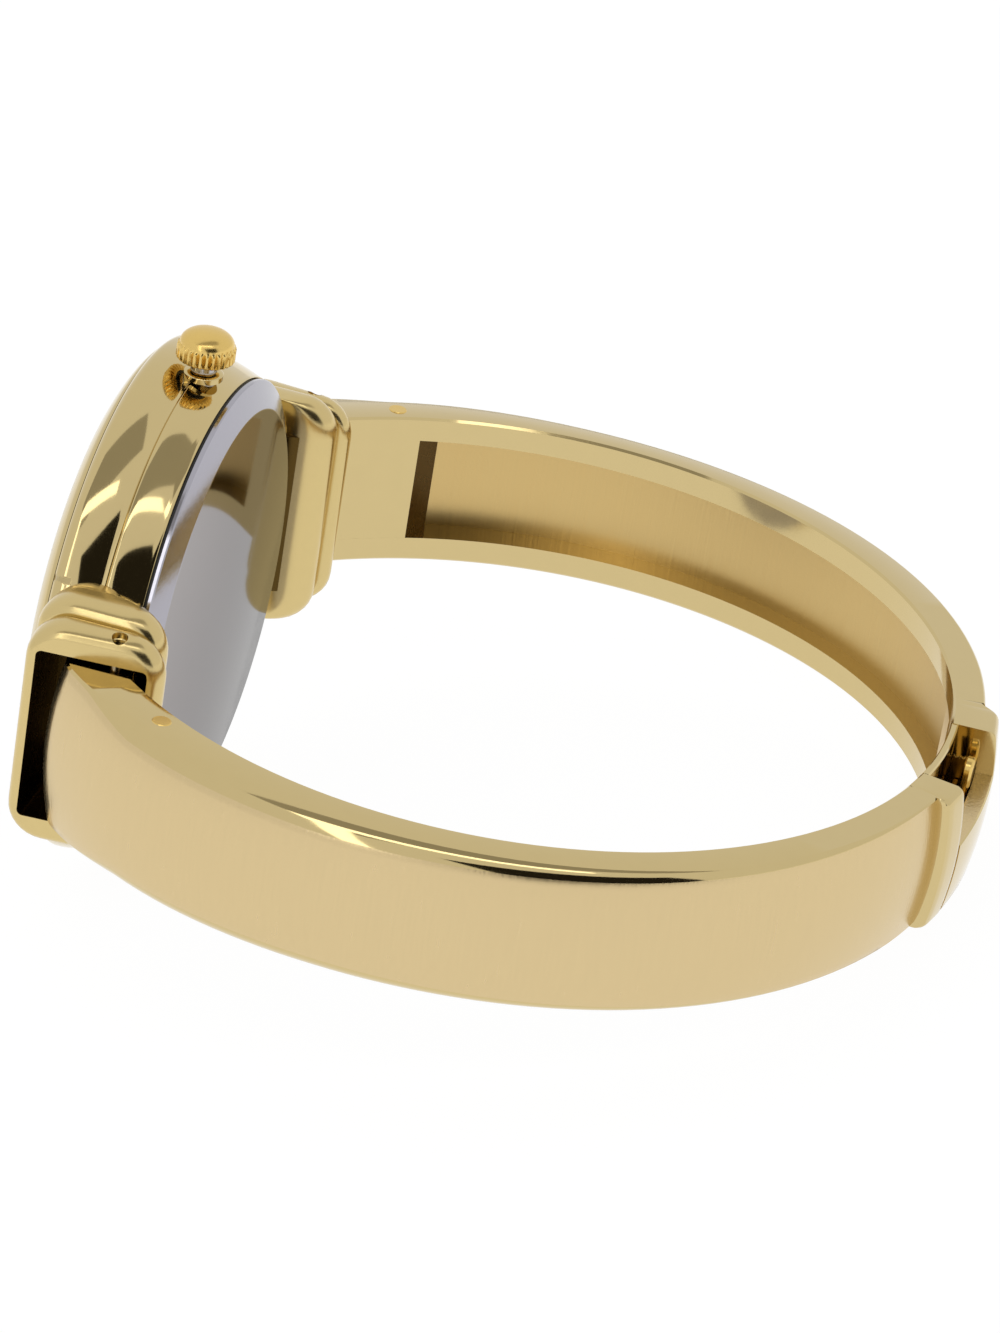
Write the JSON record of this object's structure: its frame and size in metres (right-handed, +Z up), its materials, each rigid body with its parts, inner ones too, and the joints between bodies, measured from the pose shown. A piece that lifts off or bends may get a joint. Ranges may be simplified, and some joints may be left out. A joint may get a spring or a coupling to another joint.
{
  "type": "cuff watch",
  "caption": "Quartz dress watch whose round case is held between two hinged rigid cuff arms that close on a box-and-tongue clasp opposite the dial.",
  "frame": {"origin": "centre of the bounding box's footprint, on the table that the watch lies on", "axes": "+X from the watch head towards the clasp, +Y to 12 o'clock, +Z up from the table; the cuff's own axis leans 12.5 degrees from +Z towards +X, as the watch lies on its rim and its clasp"},
  "size_m": [0.0565, 0.0582, 0.0326],
  "materials": {
    "gold_case": "mirror-polished champagne gold plating",
    "gold_satin": "satin-brushed champagne gold plating, polished edges",
    "gold_deep": "polished yellow gold plating",
    "steel_back": "satin steel with a polished bevel",
    "steel_pin": "turned steel",
    "brass_movement": "machined brass",
    "crystal_glass": "clear mineral glass",
    "black_seal": "black rubber",
    "holder_plastic": "moulded plastic",
    "board_green": "solder-masked board",
    "coil_copper": "enamelled copper wire",
    "dial_face": "sunray champagne lacquer",
    "gold_marks": "polished gold"
  },
  "bodies": {
    "case": {"case_middle": "gold_case", "bezel": "gold_case", "crystal": "crystal_glass", "crystal_seal_ring": "black_seal", "case_back": "steel_back", "back_seal_ring": "black_seal", "crown_tube": "steel_pin", "movement_holder": "holder_plastic", "dial": "dial_face", "hour_marks": "gold_marks", "main_plate": "brass_movement", "train_bridge": "steel_pin", "circuit_board": "board_green", "quartz_crystal": "steel_pin", "coil": "coil_copper", "stator": "steel_pin", "battery": "steel_pin", "battery_clamp": "brass_movement", "movement_screws": "steel_pin", "hinge_pin_six": "steel_pin", "hinge_pin_twelve": "steel_pin"},
    "arm_six": {"arm_six": "gold_satin", "hinge_block_six": "gold_case", "block_pin_six": "gold_deep", "clasp_end_piece": "gold_case", "clasp_tongue": "gold_deep", "tongue_rivets": "gold_deep"},
    "arm_twelve": {"arm_twelve": "gold_satin", "hinge_block_twelve": "gold_case", "block_pin_twelve": "gold_deep", "clasp_housing": "gold_case"},
    "thumb_spring": {"thumb_spring": "gold_deep"},
    "stem_detent": {"stem_detent": "steel_pin"},
    "crown": {"crown": "gold_deep", "crown_seal": "black_seal", "stem": "steel_pin"},
    "yoke": {"yoke": "steel_pin"},
    "sliding_pinion": {"sliding_pinion": "steel_pin"},
    "setting_wheel": {"setting_wheel": "brass_movement"},
    "minute_wheel": {"minute_wheel": "brass_movement"},
    "minute_hand": {"cannon_pinion": "brass_movement", "minute_hand": "gold_marks"},
    "hour_hand": {"hour_wheel": "brass_movement", "hour_hand": "gold_marks"},
    "rotor": {"rotor": "steel_pin"},
    "intermediate_wheel": {"intermediate_wheel": "brass_movement"},
    "centre_wheel": {"centre_wheel": "brass_movement"}
  },
  "joints": [
    {"name": "arm_six_swing", "type": "hinge", "parent": "case", "child": "arm_six", "pos_m": [-0.0188, -0.01844, 0.01437], "axis": [-0.2162, 0, -0.9763], "range_deg": [0, 40]},
    {"name": "arm_twelve_swing", "type": "hinge", "parent": "case", "child": "arm_twelve", "pos_m": [-0.0188, 0.01844, 0.01437], "axis": [0.2162, 0, 0.9763], "range_deg": [0, 40]},
    {"name": "thumb_press", "type": "hinge", "parent": "arm_six", "child": "thumb_spring", "pos_m": [0.02611, -0.0042, 0.00443], "axis": [0.2162, 0, 0.9763], "range_deg": [0, 3], "stiffness_Nm_per_rad": 0.02},
    {"name": "crown_pull", "type": "slide", "parent": "case", "child": "stem_detent", "axis": [0.2162, 0, 0.9763], "range_m": [-0.00045, 0]},
    {"name": "crown_turn", "type": "hinge", "parent": "stem_detent", "child": "crown", "pos_m": [-0.01777, 0, 0.02951], "axis": [0.2162, 0, 0.9763], "continuous": true},
    {"name": "yoke_shift", "type": "slide", "parent": "case", "child": "yoke", "axis": [0.2162, 0, 0.9763], "range_m": [0, 0.00045]},
    {"name": "sliding_pinion_turn", "type": "hinge", "parent": "yoke", "child": "sliding_pinion", "pos_m": [-0.01972, 0, 0.02072], "axis": [0.2162, 0, 0.9763], "continuous": true},
    {"name": "setting_wheel_turn", "type": "hinge", "parent": "case", "child": "setting_wheel", "pos_m": [-0.02161, 0, 0.01949], "axis": [-0.9763, 0, 0.2162], "continuous": true},
    {"name": "minute_wheel_turn", "type": "hinge", "parent": "case", "child": "minute_wheel", "pos_m": [-0.02216, 0.00221, 0.01701], "axis": [-0.9763, 0, 0.2162], "continuous": true},
    {"name": "minute_hand_turn", "type": "hinge", "parent": "case", "child": "minute_hand", "pos_m": [-0.02256, 0, 0.0152], "axis": [-0.9763, 0, 0.2162], "continuous": true},
    {"name": "hour_hand_turn", "type": "hinge", "parent": "case", "child": "hour_hand", "pos_m": [-0.02256, 0, 0.0152], "axis": [-0.9763, 0, 0.2162], "continuous": true},
    {"name": "rotor_turn", "type": "hinge", "parent": "case", "child": "rotor", "pos_m": [-0.02169, 0.00552, 0.0138], "axis": [-0.9763, 0, 0.2162], "continuous": true},
    {"name": "intermediate_wheel_turn", "type": "hinge", "parent": "case", "child": "intermediate_wheel", "pos_m": [-0.02179, 0.00286, 0.01334], "axis": [-0.9763, 0, 0.2162], "continuous": true},
    {"name": "centre_wheel_turn", "type": "hinge", "parent": "case", "child": "centre_wheel", "pos_m": [-0.02143, 0, 0.01496], "axis": [-0.9763, 0, 0.2162], "continuous": true}
  ],
  "couplings": [
    {"joint": "arm_twelve_swing", "follows": "arm_six_swing", "ratio": 1},
    {"joint": "yoke_shift", "follows": "crown_pull", "ratio": -1},
    {"joint": "sliding_pinion_turn", "follows": "crown_turn", "ratio": 1},
    {"joint": "setting_wheel_turn", "follows": "crown_turn", "ratio": -0.6},
    {"joint": "minute_wheel_turn", "follows": "crown_turn", "ratio": 0.33333},
    {"joint": "minute_hand_turn", "follows": "crown_turn", "ratio": -1},
    {"joint": "hour_hand_turn", "follows": "crown_turn", "ratio": -0.083333},
    {"joint": "intermediate_wheel_turn", "follows": "rotor_turn", "ratio": -0.11111},
    {"joint": "centre_wheel_turn", "follows": "rotor_turn", "ratio": 0.011111}
  ]
}
